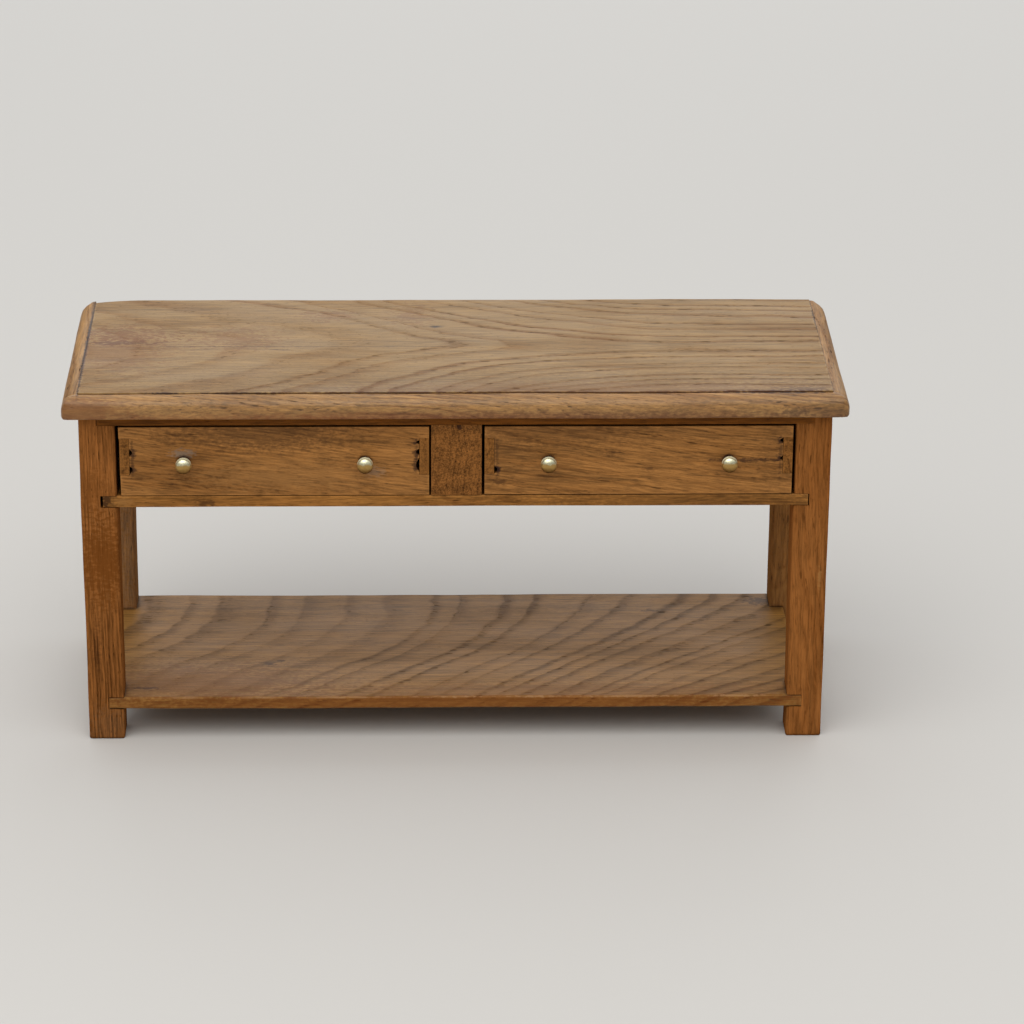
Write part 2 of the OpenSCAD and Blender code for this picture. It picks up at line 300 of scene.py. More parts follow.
def bowed_radius(g, point, log):
    """The rings of the shelf's board: broad bows across its left half, which lean over into long
    slanting lines towards its right end."""
    x, y, z = g.add("SeparateXYZ", {"Vector": point}).node.outputs
    ring = 9.0
    forwards = g.math("SUBTRACT", 28.0, y)
    lean = g.ramp(x, -25.0, 75.0, 0.0, 0.75)
    slant = g.math("MULTIPLY", forwards, g.math("MULTIPLY_ADD", forwards, 0.013, lean))
    depth = g.math("MULTIPLY", g.math("SUBTRACT", SHELF_Z, z), 3.0)
    return g.math("MULTIPLY", g.math("ADD", g.math("ADD", x, slant), depth), SHELF_RING / ring)


def left_leg_figure(g, point):
    """Close dark lines below a slanting boundary, plain wood above it, and mottled wood at the top."""
    x, _, z = g.add("SeparateXYZ", {"Vector": point}).node.outputs
    above = g.math("MULTIPLY_ADD", g.math("ADD", x, 73.7), -1.4, z)
    above = g.math("ADD", above, g.ramp(g.noise(point, (0.3, 0.3, 0.15), 2.0), 0.3, 0.7, -3.0, 3.0))
    lined = g.ramp(above, 31.0, 27.0)
    mottled = g.ramp(above, 40.0, 47.0)
    return {"Bands": g.math("MULTIPLY_ADD", mottled, 0.6, g.math("MULTIPLY_ADD", lined, 1.9, 0.12)),
            "Pores": g.math("MAXIMUM", g.math("MAXIMUM", lined, mottled), 0.35)}


def mark_mask(g, point, centre, radii, ragged=0.5):
    """1 in an ellipsoid and 0 outside it, with a ragged edge."""
    offset = g.vector("DIVIDE", g.vector("SUBTRACT", point, centre), radii)
    distance = g.vector("LENGTH", offset, out="Value")
    rag = g.ramp(g.noise(point, (0.9, 1.6, 1.6), 3.0), 0.3, 0.7, -ragged, ragged)
    return g.ramp(g.math("ADD", distance, rag), 1.35, 0.3)


def oak_material(node, tone, grain, seed, pith, tilt=(0, 0), radius=log_radius, ring=2.4, bands=0.7,
                 pores=0.8, rays=0.2, wander=1.0, contrast=1.0, sheen=0.2, dust=0.0, wear=0.45,
                 vary=None, marks=()):
    """Waxed oak for one board: its figure, worn arrises, dirt and painted shade in the crevices, dust and
    painted sheen on top, and marks.

    A mark is its centre, its radii, its colour, its strength and, where its edge isn't ragged as
    usual, how ragged it is.
    """
    material = bpy.data.materials.new(node + "_oak")
    material.use_nodes = True
    g = Graph(material.node_tree)
    shader = material.node_tree.nodes["Principled BSDF"]
    light, brown = (colour + (1.0,) for colour in TONES[tone])
    dark = tuple(PORE_SHADE * channel for channel in brown[:3]) + (1.0,)
    point = g.scaled(g.add("TexCoord", {}, out="Object"), (1 / MM,) * 3)
    log = log_point(g, point, grain, Vector(pith), tilt, seed)
    inputs = {
        "Point": log, "Radius": radius(g, point, log), "Light": light, "Brown": brown, "Dark": dark,
        "Ring": ring, "Bands": bands, "Pores": pores, "Rays": rays, "Wander": wander,
        "Contrast": contrast}
    if vary:
        inputs.update(vary(g, point))
    oak = use_group(g, OAK, inputs)
    colour, rough = oak["Color"], oak["Roughness"]

    if dust:
        # dust greys the faces that look up, and so paints in some of their sheen
        up = g.add("SeparateXYZ", {"Vector": g.add("TexCoord", {}, out="Normal")}, out="Z")
        patchy = g.ramp(g.noise(point, (0.05, 0.08, 0.2)), 0.3, 0.7, 0.4, 1.0)
        dust_and_sheen_mask = g.math("MULTIPLY", g.ramp(up, 0.6, 0.95), patchy)
        colour = g.mix(g.math("MULTIPLY", dust_and_sheen_mask, dust), colour, GREY_DUST_AND_SHEEN)

    low, high = box_mm(node)
    arris = use_group(g, ARRIS, {"Point": point, "Middle": (low + high) / 2, "Half": (high - low) / 2})
    rub = g.ramp(g.noise(point, (0.35, 0.35, 0.35), 3.0), 0.3, 0.7, 0.5, -0.25)
    worn = g.ramp(g.math("ADD", arris["Distance"], rub), 0.55, 0.05)
    colour = g.mix(g.math("MULTIPLY", worn, wear), colour, g.scale_colour(light, 1.35))
    rough = g.math("SUBTRACT", rough, g.math("MULTIPLY", worn, 0.08))

    # painted shade: ambient occlusion darkens crevices and joints towards the pore colour, for the dirt in
    # them and the shade that falls there
    crevice = g.add("AmbientOcclusion", {"Distance": 0.9 * MM}, out="AO", samples=6)
    crevice_dirt_and_shade = g.ramp(crevice, 0.45, 0.95, 0.8, 0.0)
    colour = g.mix(crevice_dirt_and_shade, colour, dark)
    for centre, radii, mark_colour, strength, *ragged in marks:
        mask = g.math("MULTIPLY", mark_mask(g, point, centre, radii, *ragged), strength)
        colour = g.mix(mask, colour, mark_colour)
    bump = g.add("Bump", {"Height": g.math("MULTIPLY", oak["Height"], MM), "Strength": 0.8,
                          "Distance": 1.0})
    for socket, value in (("Base Color", colour), ("Roughness", rough), ("Normal", bump),
                          ("Specular IOR Level", sheen)):
        g.put(shader.inputs[socket], value)
    return material


# ---------------------------------------------------------------- boards


# without a seed of its own, Blender's vector noise starts from the clock and each run differs
noise.seed_set(1)


def uneven(point, size_mm, seed):
    """A smooth random vector of about unit length that changes over size_mm."""
    return noise.noise_vector(point / (size_mm * MM) + Vector((seed * 11.3, seed * 5.7, seed * 3.1)))


def outer_arris(edge, low, high):
    """The axis that an edge on the outside of a piece's box runs along, or None."""
    ends = [v.co for v in edge.verts]
    along = max(range(3), key=lambda axis: abs(ends[1][axis] - ends[0][axis]))
    tolerance = 0.02 * MM
    on_sides = all(
        any(abs(ends[0][axis] - side[axis]) < tolerance and abs(ends[1][axis] - side[axis]) < tolerance
            for side in (low, high))
        for axis in range(3) if axis != along)
    return along if on_sides else None


def rounded_copy(node, arris_mm, inner_mm):
    """A mesh of a CAD node with its arrises rounded, by arris_mm along x, y and z where they lie on
    its box, and by inner_mm where they don't."""
    low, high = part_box(node)
    bm = bmesh.new()
    bm.from_mesh(frame["nodes"][node].data)
    bmesh.ops.remove_doubles(bm, verts=bm.verts, dist=1e-6)
    bmesh.ops.dissolve_limit(bm, angle_limit=math.radians(1.5), verts=bm.verts, edges=bm.edges)
    weight = bm.edges.layers.float.new("bevel_weight_edge")
    widest = max(*arris_mm, inner_mm)
    for edge in bm.edges:
        if len(edge.link_faces) == 2 and edge.calc_face_angle_signed(0.0) > math.radians(30):
            axis = outer_arris(edge, low, high)
            edge[weight] = (inner_mm if axis is None else arris_mm[axis]) / widest
    mesh = bpy.data.meshes.new(node + "_rough")
    bm.to_mesh(mesh)
    bm.free()
    holder = bpy.data.objects.new(node + "_rough", mesh)
    bpy.context.scene.collection.objects.link(holder)
    bevel = holder.modifiers.new("arris", "BEVEL")
    bevel.width = widest * MM
    bevel.segments = 3
    bevel.limit_method = "WEIGHT"
    bevel.offset_type = "OFFSET"
    evaluated = holder.evaluated_get(bpy.context.evaluated_depsgraph_get())
    rounded = bpy.data.meshes.new_from_object(evaluated)
    bpy.data.objects.remove(holder)
    return rounded


def cut_into_grid(bm, low, high, cell_mm):
    """Cuts a mesh with evenly spaced planes across each axis, so that its faces can bend."""
    for axis in range(3):
        length = high[axis] - low[axis]
        steps = max(1, round(length / (cell_mm[axis] * MM)))
        normal = Vector((0, 0, 0))
        normal[axis] = 1
        for step in range(1, steps):
            place = low.copy()
            place[axis] += length * (step + 0.003) / steps
            bmesh.ops.bisect_plane(bm, geom=bm.verts[:] + bm.edges[:] + bm.faces[:], dist=1e-7,
                                   plane_co=place, plane_no=normal)


def shown_piece(name, mesh, node, material):
    """Puts a finished mesh in the scene as the piece that stands for a CAD node."""
    piece = bpy.data.objects.new(name, mesh)
    bpy.context.scene.collection.objects.link(piece)
    mesh.materials.clear()
    mesh.materials.append(material)
    mesh.shade_smooth()
    piece.modifiers.new("normals", "WEIGHTED_NORMAL").keep_sharp = True
    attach(piece, body_of_node[node])
    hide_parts(node)
    return piece


def board(node, tone, grain, seed, pith, arris=(0.2, 0.2, 0.2), inner=0.07, cell=(2.5, 2.5, 2.5),
          sway=0.1, shape=None, **figure):
    """Makes a board's piece. sway is how far its faces stray, and shape moves its points further."""
    mesh = rounded_copy(node, arris, inner)
    low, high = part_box(node)
    bm = bmesh.new()
    bm.from_mesh(mesh)
    cut_into_grid(bm, low, high, cell)
    for vert in bm.verts:
        rest = vert.co.copy()
        lift = min(1.0, max(0.0, rest.z / (6 * MM)))      # the feet stay flat on the floor
        vert.co += lift * sway * MM * (0.7 * uneven(rest, 38, 1) + 0.3 * uneven(rest, 9, seed))
        if shape:
            vert.co += shape(rest)
    bm.to_mesh(mesh)
    bm.free()
    return shown_piece(node + "_board", mesh, node, oak_material(node, tone, grain, seed, pith, **figure))


FACE_Y = box_mm("front_left_leg")[0].y
TOP_Z = box_mm("top_panel")[1].z
SHELF_Z = box_mm("shelf")[1].z
KNOB_Z = sum(corner.z for corner in box_mm("left_drawer_left_knob")) / 2
SHELF_RING = 2.6
BLUNTNESS = 0.62                        # how far a knob's front stands out from its rim, against a ball's


# ---- the top


def worn_corner(node):
    """How a board's points move so that its back left corner is worn away over reach along the edge."""
    low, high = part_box(node)
    reach, depth, fade = 10 * MM, 1.7 * MM, 8 * MM

    def move(rest):
        along = min(1.0, max(0.0, (low.x + reach - rest.x) / reach))
        near = min(1.0, max(0.0, (rest.y - (high.y - fade)) / fade))
        return Vector((0, -depth * along ** 2 * near, 0))

    return move


CROWN_DROP = 1.5                        # from a moulding's upper edge to where its crown ends


def rolled_over(rest, node):
    """How a moulding's point moves so that its crown runs smoothly down into its outer faces, and
    its corners are rubbed round."""
    low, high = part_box(node)
    faces = [(0, 1 if low.x < -80 * MM else None, rest.x - low.x),
             (0, -1 if high.x > 80 * MM else None, high.x - rest.x),
             (1, 1 if node == "front_moulding" else None, rest.y - low.y)]
    reach, depth = 1.5 * MM, 0.3 * MM
    down = high.z - CROWN_DROP * MM - rest.z
    moved = Vector((0, 0, 0))
    near = []
    for axis, inwards, away in faces:
        if inwards:
            pull = depth * max(0.0, 1 - math.hypot(away, down) / reach) ** 2
            moved[axis] += inwards * pull
            moved.z -= 0.4 * pull
            near.append((axis, inwards, away))
    for first, second in zip(near, near[1:] + near[:1]):
        if first[0] != second[0]:
            pull = 1.3 * depth * max(0.0, 1 - math.hypot(first[2], second[2]) / (1.4 * reach)) ** 2
            moved[first[0]] += first[1] * pull
            moved[second[0]] += second[1] * pull
    return moved


def end_moulding_shape(node):
    """How an end moulding's points move: rolled over, with the outer corner of its back end rounded
    in plan."""
    low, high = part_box(node)
    radius = 3 * MM
    outer, inner = (low.x, high.x) if abs(low.x) > abs(high.x) else (high.x, low.x)

    def move(rest):
        past = max(0.0, min(radius, rest.y - (high.y - radius)))
        pulled = radius - math.sqrt(radius ** 2 - past ** 2)
        outwards = (rest.x - inner) / (outer - inner)
        end = Vector((math.copysign(pulled, inner - outer) * 0.8 * outwards ** 2, 0, 0))
        return end + rolled_over(rest, node)

    return move


panel_low, panel_high = box_mm("top_panel")
strip_low, strip_high = box_mm("front_moulding")

# wax in the joint between the top and its mouldings
GROOVE_MARKS = [
    ((panel_low.x - 0.1, 3, TOP_Z), (0.42, 34, 1.5), BLACK_WAX_AND_SHADOW, 0.97, 0.25),
    ((-60, panel_low.y, TOP_Z), (3.5, 0.3, 1.2), BLACK_WAX_AND_SHADOW, 0.9),
    ((-44, panel_low.y, TOP_Z), (9, 0.3, 1.2), BLACK_WAX_AND_SHADOW, 0.8),
    ((-12, panel_low.y, TOP_Z), (16, 0.25, 1.2), BLACK_WAX_AND_SHADOW, 0.8),
    ((30, panel_low.y, TOP_Z), (30, 0.28, 1.2), BLACK_WAX_AND_SHADOW, 0.7),
    ((66, panel_low.y, TOP_Z), (12, 0.6, 1.2), BLACK_WAX_AND_SHADOW, 0.9),
    ((panel_high.x, 18, TOP_Z), (0.3, 10, 1.2), BLACK_WAX_AND_SHADOW, 0.6)]

# dark spots, stained patches, two long hair cracks, and the darker front edge and left end
TOP_MARKS = [
    ((-4, 13, TOP_Z), (1.5, 0.8, 1.5), BLACK_WAX_AND_SHADOW, 0.9, 0.2),
    ((-37, -1, TOP_Z), (2.6, 0.35, 0.6), BLACK_WAX_AND_SHADOW, 0.5),
    ((-71, 3.5, TOP_Z), (7, 1.2, 1), BROWN_STAIN, 0.75, 0.8),
    ((-70, 8, TOP_Z), (9, 5, 2), ORANGE_OAK, 0.5, 0.9),
    ((-46, 6, TOP_Z), (8, 6, 2), ORANGE_OAK, 0.4, 0.9),
    ((-27, 20, TOP_Z), (5, 3, 2), ORANGE_OAK, 0.4, 0.9),
    ((-9, 20, TOP_Z), (4, 5, 2), ORANGE_OAK, 0.35, 0.9),
    ((71, -24.5, TOP_Z), (6, 1.2, 0.8), BLACK_WAX_AND_SHADOW, 0.5),
    ((-38, 1.0, TOP_Z), (40, 0.16, 0.5), BROWN_STAIN, 0.6),
    ((35, -0.5, TOP_Z), (34, 0.12, 0.5), BROWN_STAIN, 0.45),
    ((10, -22, TOP_Z), (75, 9, 2), BROWN_STAIN, 0.17),
    ((30, -25, TOP_Z), (60, 5, 2), ORANGE_OAK, 0.3),
    ((-72, -2, TOP_Z), (12, 12, 2), ORANGE_OAK, 0.4)]

# a black patch, painted shade along the lower edge, a painted highlight along the crown, the darker ends and
# the browner right half
STRIP_MARKS = [
    ((69, strip_low.y + 0.2, 75), (3, 1, 1.2), BLACK_WAX_AND_SHADOW, 0.45),
    # painted shade: red-brown along the lower edge, where the moulding curves under
    ((0, strip_low.y - 0.8, strip_low.z - 0.1), (95, 1.5, 1.9), RED_OAK_AND_SHADE, 0.75, 0.15),
    # painted highlight: a pale band along the crown
    ((0, strip_low.y - 0.1, strip_high.z - 0.6), (90, 1.5, 1.0), PALE_WAX_AND_HIGHLIGHT, 0.09, 0.2),
    ((strip_low.x + 3, strip_low.y + 0.2, 75.5), (11, 3, 4), ORANGE_OAK, 0.6, 0.3),
    ((strip_high.x - 2, strip_low.y + 0.2, 75.5), (6, 3, 4), BROWN_STAIN, 0.3),
    ((40, strip_low.y - 0.8, 74.2), (50, 1.5, 1.5), BROWN_STAIN, 0.4)]

board("top_panel", "top", "X", 1, pith=(47, 2, TOP_Z - 19), radius=saddle_radius, ring=2.0, wander=0.18,
      arris=(0.2, 0.15, 0.3), sway=0.22, contrast=0.8, sheen=0.24, bands=0.9, pores=0.85,
      shape=worn_corner("top_panel"), marks=GROOVE_MARKS + TOP_MARKS)
for side, seed in (("left", 2), ("right", 3)):
    board(side + "_moulding", "moulding", "Y", seed, pith=(0, 0, 50), tilt=(2, 1), ring=2.0,
          arris=(0.1, 0.3, 0.1), inner=0.3, cell=(0.4, 1.2, 0.45), sway=0.2, sheen=0.25,
          shape=end_moulding_shape(side + "_moulding"), marks=GROOVE_MARKS)
board("front_moulding", "moulding", "X", 4, pith=(-40, -60, 60), tilt=(3, 9), ring=1.2, bands=1.0,
      wander=0.5, arris=(0.35, 0.1, 0.1), inner=0.3, cell=(1.5, 0.4, 0.45), sway=0.25, sheen=0.5,
      shape=lambda rest: rolled_over(rest, "front_moulding"), marks=GROOVE_MARKS + STRIP_MARKS)

# ---- the frame

LEG_ARRIS = (0.3, 0.3, 0.7)             # a leg's long edges are rounder than its ends
LEG_SWAY = 0.3
BACK_HAZE = {"left": 0.13, "right": 0.04}

board("front_left_leg", "left_leg", "Z", 5, pith=(-115, -32, 0), tilt=(1, 1), ring=0.75,
      vary=left_leg_figure, rays=0.15, wander=0.12, contrast=1.2, arris=LEG_ARRIS, sway=LEG_SWAY,
      sheen=0.0, marks=[
          ((-73.5, FACE_Y, 41), (4.8, 2, 10), ORANGE_OAK, 0.8),
          ((-75.5, FACE_Y, 57), (3.5, 2, 5), ORANGE_OAK, 0.35),
          ((-75.4, FACE_Y, 22), (0.8, 1, 6), BLACK_WAX_AND_SHADOW, 0.3),
          ((-73, FACE_Y, 3), (5, 2, 5), GREY_DUST_AND_SHEEN, 0.12)])
board("front_right_leg", "right_leg", "Z", 6, pith=(125, -50, 20), tilt=(1.5, 1), ring=1.9, bands=0.8,
      pores=0.55, rays=0.3, contrast=1.0, arris=LEG_ARRIS, sway=LEG_SWAY, sheen=0.0, marks=[
          ((76.2, FACE_Y, 37), (0.4, 1, 2.6), BRIGHT_OAK, 0.6)])
for side, seed, pith in (("left", 7, (-95, 60, 0)), ("right", 8, (96, 52, 0))):
    board(f"back_{side}_leg", "back_leg", "Z", seed, pith=pith, ring=1.7, contrast=1.1,
          arris=LEG_ARRIS, sway=LEG_SWAY, sheen=0.0,
          marks=[((pith[0], 20, 30), (60, 20, 60), PALE_WAX_AND_HIGHLIGHT, BACK_HAZE[side])])

# its darker tone paints in the shade under the moulding
board("top_rail", "top_rail", "X", 9, pith=(0, -20, 20), arris=(0.1, 0.1, 0.1), sway=0.08, sheen=0.06)
board("drawer_rail", "rail", "X", 10, pith=(30, -45, 20), tilt=(1.5, 3), ring=1.6, contrast=1.2,
      arris=(0.3, 0.08, 0.08), sway=0.12, sheen=0.07, wear=0.7, cell=(1.5, 2.5, 2.5), marks=[
          ((-52, FACE_Y, 54), (2.2, 1, 0.9), BROWN_STAIN, 0.7),
          ((-72.6, FACE_Y, 54.6), (1.4, 2, 1.8), BROWN_STAIN, 0.9),
          ((-69, FACE_Y, 54.6), (2.0, 1, 1.0), BRIGHT_OAK, 0.4),
          ((50, FACE_Y, 54.5), (40, 2, 4), BROWN_STAIN, 0.38)])
# the shelf's front arris is rubbed bare in patches, given by their middles and half lengths
BARE_ARRIS = [
    ((middle, FACE_Y + 0.1, SHELF_Z), (half, 0.35, 0.3), BARE_OAK, 0.6)
    for middle, half in ((-57, 3), (-41, 4), (-24, 9), (-2, 7), (16, 6), (37, 11), (60, 6))]
SHELF_EDGE = [((0, FACE_Y, SHELF_Z - 1.2), (110, 0.8, 2.2), RED_OAK_AND_SHADE, 0.55, 0.3)]

# broad stains along the front and the back, and five small dark spots
SHELF_MARKS = [
    ((-55, -20, SHELF_Z), (34, 12, 2), BROWN_STAIN, 0.16),
    ((-56, -19, SHELF_Z), (26, 10, 2), ORANGE_OAK, 0.35),
    ((20, -25, SHELF_Z), (60, 6, 2), ORANGE_OAK, 0.3),
    ((-12, 22, SHELF_Z), (60, 7, 2), BROWN_STAIN, 0.17),
    ((-65.5, -21.7, SHELF_Z), (3.2, 0.8, 0.8), BLACK_WAX_AND_SHADOW, 0.6),
    ((68, 23, SHELF_Z), (3, 2, 1), BLACK_WAX_AND_SHADOW, 0.6),
    ((-40, -9.5, SHELF_Z), (1.4, 0.9, 0.8), BROWN_STAIN, 0.7),
    ((-37.5, -8, SHELF_Z), (0.8, 0.7, 0.8), BROWN_STAIN, 0.7),
    ((43.6, 18, SHELF_Z), (2, 0.8, 0.8), BROWN_STAIN, 0.6)]
board("shelf", "shelf", "X", 11, pith=(0, 25, SHELF_Z - 46), radius=bowed_radius, ring=SHELF_RING,
      bands=0.95, pores=0.75, wander=0.12, contrast=0.9, arris=(0.5, 0.1, 0.1), sway=0.3, sheen=0.14,
      dust=0.08, marks=SHELF_EDGE + BARE_ARRIS + SHELF_MARKS)
for side, seed in (("left", 12), ("right", 13)):
    board(side + "_apron", "left_leg", "Y", seed, pith=(0, 0, 10), tilt=(2, 2))
board("back_apron", "rail", "X", 14, pith=(-120, 90, 60), tilt=(1.5, 3), ring=3)

# ---- what the drawers run on

board("centre_guide", "block", "Y", 15, pith=(-32, 0, 63), ring=1.1, bands=1.0, pores=1.0, rays=1.0,
      wander=0.3, contrast=1.6, arris=(0.1, 0.1, 0.15), sway=0.06, sheen=0.05, marks=[
          ((0.7, FACE_Y, 70.8), (0.9, 1, 0.5), BLACK_WAX_AND_SHADOW, 0.8)])
for number, node in enumerate(
        ("left_guide", "right_guide", "centre_runner", "left_runner", "right_runner")):
    board(node, "inner", "Y", 16 + number, pith=(10, 0, 20), arris=(0.1, 0.1, 0.1), sway=0.04)


# ---- the drawers

SOCKET_WIDTH = 2.6                      # from a drawer's end to the inner wall of a dovetail's socket
SOCKET_LOW, SOCKET_HIGH = 3.9, 13.2     # where the wall closes up, above the drawer's lower edge

# the pits left beside each dovetail: their middles and half lengths, as shares of the socket's height
PITS = {"left": ([(0.20, 0.08), (0.60, 0.09)], [(0.30, 0.16), (0.60, 0.07), (0.84, 0.04)]),
        "right": ([(0.18, 0.08)], [(0.44, 0.05), (0.86, 0.05)])}


def closed_socket(rest, node, pits, wedge):
    """How a point of a drawer's front moves so that the gap beside a dovetail closes but for pits, and
    the front's left end leans by wedge."""
    low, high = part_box(node)
    reach = 0.3 * MM
    height = (rest.z - low.z) / MM
    share = (height - SOCKET_LOW) / (SOCKET_HIGH - SOCKET_LOW)
    if rest.x - low.x < reach:
        return Vector((wedge * MM * (0.5 - (rest.z - low.z) / (high.z - low.z)), 0, 0))
    for end, inward, holes in ((low.x, 1, pits[0]), (high.x, -1, pits[1])):
        wall = end + inward * SOCKET_WIDTH * MM
        if abs(rest.x - wall) < reach and SOCKET_LOW < height < SOCKET_HIGH:
            ragged = 0.6 * noise.noise(rest * 1400) + 0.4 * noise.noise(rest * 3100)
            depth = max(1.5 * (1 - ((share - middle) / half) ** 2) for middle, half in holes) + ragged
            open_by = min(1.1, max(0.0, depth))
            return Vector((-inward * (1 - open_by) * 0.57 * MM, 0, 0))
    return Vector((0, 0, 0))


# dried polish, stains and dark streaks on the drawers' fronts, and broad bands: darker along each front's
# upper edge, and lighter below it on the left
DRAWER_MARKS = {
    "left": [((-56.5, FACE_Y, 65.2), (2.4, 1, 1.0), PALE_WAX_AND_HIGHLIGHT, 0.4),
             ((-17, FACE_Y, 61), (2.2, 1, 1.1), PALE_WAX_AND_HIGHLIGHT, 0.22),
             ((-41, FACE_Y, 69.5), (19, 1, 3.8), BROWN_STAIN, 0.5),
             ((-36, FACE_Y, 60), (20, 1, 3.5), BRIGHT_OAK, 0.35)],
    "right": [((60, FACE_Y, 63.4), (8, 1, 0.45), BLACK_WAX_AND_SHADOW, 0.7),
              ((8.5, FACE_Y, 61.6), (1.0, 1, 0.5), BLACK_WAX_AND_SHADOW, 0.8),
              ((9, FACE_Y, 58.6), (1.6, 1, 0.6), BROWN_STAIN, 0.6),
              ((9, FACE_Y, 65), (7, 1, 8), BROWN_STAIN, 0.15),
              ((20, FACE_Y, 69.5), (22, 1, 3.2), BROWN_STAIN, 0.3),
              ((67, FACE_Y, 64), (5, 1, 7), BROWN_STAIN, 0.25),
              ((32, FACE_Y, 65), (1.5, 1, 0.8), BROWN_STAIN, 0.5),
              ((40, FACE_Y, 61.5), (1.2, 1, 0.6), BROWN_STAIN, 0.5)]}
for side, seed, wedge in (("left", 30, 0.3), ("right", 40, 0.0)):
    drawer = side + "_drawer_"
    front = drawer + "front"
    front_low, front_high = box_mm(front)
    wax_and_shadow_marks = []
    for end, inward, holes in ((front_low.x, 1, PITS[side][0]), (front_high.x, -1, PITS[side][1])):
        wall_x = end + inward * SOCKET_WIDTH
        wax_and_shadow_marks.append(((wall_x, FACE_Y, front_low.z + 8.5), (0.35, 1, 4.2), BROWN_STAIN, 0.5))
        for middle, half in holes:
            pit_z = front_low.z + SOCKET_LOW + middle * (SOCKET_HIGH - SOCKET_LOW)
            wax_and_shadow_marks.append(((wall_x + inward * 0.2, FACE_Y, pit_z), (0.7, 1, 0.3 + 8 * half),
                              BLACK_WAX_AND_SHADOW, 0.7))
    for hand in ("left", "right"):
        middle_x = sum(corner.x for corner in box_mm(f"{drawer}{hand}_knob")) / 2
        # painted shadow with some wax: a dark crescent just above each knob
        wax_and_shadow_marks.append(((middle_x, FACE_Y, KNOB_Z + 0.5), (1.4, 1, 0.85), BLACK_WAX_AND_SHADOW, 0.9, 0.25))
    board(front, "drawer", "X", seed, pith=(0, -45, 0), tilt=(-7, 2), ring=2.2, bands=0.6, pores=0.75,
          contrast=1.25, arris=(0.25, 0.2, 0.2), sway=0.05, sheen=0.12, cell=(2.0, 3.2, 0.3),
          marks=DRAWER_MARKS[side] + wax_and_shadow_marks,
          shape=lambda rest, n=front, p=PITS[side], w=wedge: closed_socket(rest, n, p, w))
    for number, (hand, away) in enumerate((("left", -30), ("right", 34))):
        side_node = f"{drawer}{hand}_side"
        board(side_node, "dovetail", "Y", seed + 1 + number, pith=(box_mm(side_node)[0].x + away, 0, 64),
              ring=2.0, rays=1.4, contrast=1.2, arris=(0.1, 0.1, 0.1), sway=0.04, sheen=0.05)
    board(drawer + "back", "inner", "X", seed + 3, pith=(0, 60, 20), arris=(0.1, 0.1, 0.1), sway=0.04)
    board(drawer + "bottom", "inner", "X", seed + 4, pith=(20, 0, 20), arris=(0.1, 0.1, 0.1), sway=0.03)


# ---------------------------------------------------------------- brass knobs


def brass_material():
    """Handled brass: painted pale above as a highlight, painted brown below as reflection and shade, and dull
    behind, with grime and painted shade round the neck and underneath, and fine turning marks.
    """
    material = bpy.data.materials.new("knob_brass")
    material.use_nodes = True
    g = Graph(material.node_tree)
    shader = material.node_tree.nodes["Principled BSDF"]
    point = g.scaled(g.add("TexCoord", {}, out="Object"), (1 / MM,) * 3)
    _, y, z = g.add("SeparateXYZ", {"Vector": point}).node.outputs
    blotch = g.ramp(g.noise(point, (1.1, 1.1, 1.1), 4.0), 0.3, 0.75, -0.2, 0.2)
    height = g.math("ADD", z, blotch)
    # tarnish near the neck, and painted shade over the lower half of the ball
    neck_tarnish_and_lower_shade = g.math("MAXIMUM", g.ramp(y, FACE_Y - 0.7, FACE_Y), g.ramp(height, KNOB_Z + 0.75, KNOB_Z + 0.2))
    # painted reflection and shade: golden brown over the lower half, darker towards the bottom
    lower_reflection_and_shade = g.mix(g.ramp(height, KNOB_Z + 0.1, KNOB_Z - 1.2), (0.50, 0.31, 0.10, 1.0),
                    (0.22, 0.11, 0.028, 1.0))
    # painted highlight: pale above the middle, the colour of the lit top
    colour = g.mix(neck_tarnish_and_lower_shade, (0.78, 0.74, 0.50, 1.0), lower_reflection_and_shade)
    # grime round the neck and underneath, which also paints the shade there, and the back of the ball is too
    # dull to be a mirror
    grime_and_shade = g.math("MAXIMUM", g.ramp(y, FACE_Y - 1.3, FACE_Y - 0.8),
                   g.ramp(height, KNOB_Z - 1.0, KNOB_Z - 1.7))
    dull = g.math("MAXIMUM", grime_and_shade, g.ramp(y, FACE_Y - 3.05, FACE_Y - 2.6, 0.0, 0.85))
    colour = g.mix(grime_and_shade, colour, (0.045, 0.020, 0.007, 1.0))
    scratches = g.ramp(g.noise(point, (5, 5, 5), 3.0), 0.3, 0.7, 0.28, 0.40)
    rough = g.math("MULTIPLY_ADD", dull, 0.3, g.math("MULTIPLY_ADD", neck_tarnish_and_lower_shade, 0.15, scratches))
    turning = g.noise(point, (0.3, 14.0, 0.3), 2.0)
    bump = g.add("Bump", {"Height": g.math("MULTIPLY", turning, 0.01 * MM), "Strength": 0.5,
                          "Distance": 1.0})
    for socket, value in (("Base Color", colour), ("Metallic", g.math("SUBTRACT", 1.0, dull)),
                          ("Roughness", rough), ("Specular IOR Level", 0.0), ("Normal", bump)):
        g.put(shader.inputs[socket], value)
    return material


BRASS = brass_material()


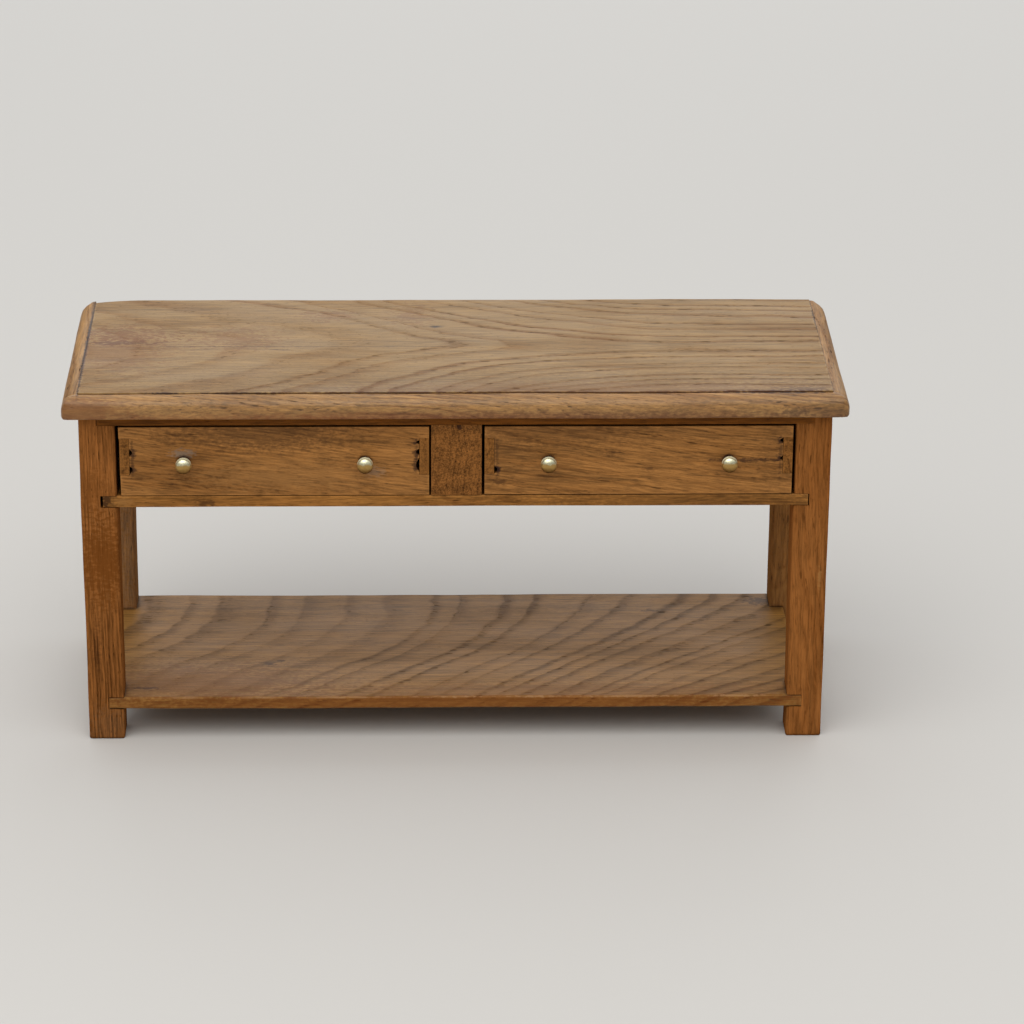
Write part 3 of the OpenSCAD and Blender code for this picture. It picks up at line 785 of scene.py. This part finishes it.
def knob(node):
    """A turned knob with a flattened front on a short neck, and the pin behind it, around the CAD
    knob's own axis and no further forward or back than its ball."""
    low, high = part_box(node)
    centre_x, centre_z = (low.x + high.x) / 2, (low.z + high.z) / 2
    ball = (high.x - low.x) / 2
    front_depth = BLUNTNESS * ball
    middle_y = low.y + front_depth
    pin = 0.5 * MM
    neck = 0.8 * MM
    face_y = FACE_Y * MM
    profile = [(high.y, 0.0), (high.y, pin), (face_y + 0.1 * MM, pin), (face_y - 0.02 * MM, neck * 1.25)]
    start, steps = math.asin(neck / ball), 22
    for step in range(steps + 1):
        turned = start + (math.pi - start) * step / steps
        depth = front_depth if turned > math.pi / 2 else 2 * ball - front_depth
        profile.append((middle_y + depth * math.cos(turned), ball * math.sin(turned)))
    bm = bmesh.new()
    around = 40
    rings = []
    for y, radius in profile:
        if radius < 1e-7:
            rings.append([bm.verts.new((centre_x, y, centre_z))])
            continue
        ring = []
        for spoke in range(around):
            a = 2 * math.pi * spoke / around
            ring.append(bm.verts.new((centre_x + radius * math.cos(a), y, centre_z + radius * math.sin(a))))
        rings.append(ring)
    for near, far in zip(rings, rings[1:]):
        for spoke in range(around):
            after = (spoke + 1) % around
            corners = [near[spoke % len(near)], near[after % len(near)],
                       far[after % len(far)], far[spoke % len(far)]]
            bm.faces.new(list(dict.fromkeys(corners)))
    for vert in bm.verts:
        vert.co += 0.02 * MM * uneven(vert.co, 1.5, 5)
    bmesh.ops.recalc_face_normals(bm, faces=bm.faces)
    mesh = bpy.data.meshes.new(node + "_turned")
    bm.to_mesh(mesh)
    bm.free()
    return shown_piece(node + "_turned", mesh, node, BRASS)


for side in ("left", "right"):
    for hand in ("left", "right"):
        knob(f"{side}_drawer_{hand}_knob")


# ---------------------------------------------------------------- floor, light and camera


def pale_floor():
    mesh = bpy.data.meshes.new("floor")
    reach = 4.0
    mesh.from_pydata([(-reach, -reach, 0), (reach, -reach, 0), (reach, reach, 0), (-reach, reach, 0)], [],
                     [(0, 1, 2, 3)])
    floor = bpy.data.objects.new("floor", mesh)
    bpy.context.scene.collection.objects.link(floor)
    material = bpy.data.materials.new("floor")
    material.use_nodes = True
    shader = material.node_tree.nodes["Principled BSDF"]
    shader.inputs["Base Color"].default_value = (0.60, 0.575, 0.54, 1.0)
    shader.inputs["Roughness"].default_value = 0.8
    mesh.materials.append(material)


def area_light(name, place, aim, size, power, colour):
    data = bpy.data.lights.new(name, "AREA")
    data.shape = "DISK"
    data.size = size
    data.energy = power
    data.color = colour
    light = bpy.data.objects.new(name, data)
    light.location = place
    light.rotation_euler = (Vector(aim) - Vector(place)).to_track_quat("-Z", "Y").to_euler()
    bpy.context.scene.collection.objects.link(light)


def soft_dome():
    """A world that is bright overhead and dimmer towards the horizon."""
    world = bpy.data.worlds.new("dome")
    world.use_nodes = True
    g = Graph(world.node_tree)
    height = g.add("SeparateXYZ", {"Vector": g.add("TexCoord", {}, out="Generated")}, out="Z")
    shader = world.node_tree.nodes["Background"]
    shader.inputs["Color"].default_value = (0.96, 0.98, 1.0, 1.0)
    g.put(shader.inputs["Strength"], g.ramp(height, 0.15, 0.75, 0.24, 0.95))
    return world


def camera():
    """A long lens in front of the table, a little left of its middle and looking down on it."""
    data = bpy.data.cameras.new("camera")
    data.sensor_width = 36
    data.lens = 146.4
    data.clip_start = 0.05
    data.clip_end = 30
    view = bpy.data.objects.new("camera", data)
    yaw, pitch, roll = (math.radians(a) for a in (1.6, -22.76, 0.44))
    view.matrix_world = (Matrix.Translation((-0.01072, -0.82446, 0.38689)) @ Matrix.Rotation(-yaw, 4, "Z")
                         @ Matrix.Rotation(math.pi / 2 + pitch, 4, "X") @ Matrix.Rotation(roll, 4, "Z"))
    bpy.context.scene.collection.objects.link(view)
    bpy.context.scene.camera = view


pale_floor()
camera()
area_light("key", (-0.20, -0.50, 0.90), (0, 0, 0.03), 1.2, 5.0, (1.0, 0.985, 0.96))
area_light("back", (0.10, 1.10, 0.55), (0, 0, 0.03), 1.2, 3.0, (0.93, 0.97, 1.0))
bpy.context.scene.world = soft_dome()
bpy.context.scene.view_settings.view_transform = "Standard"
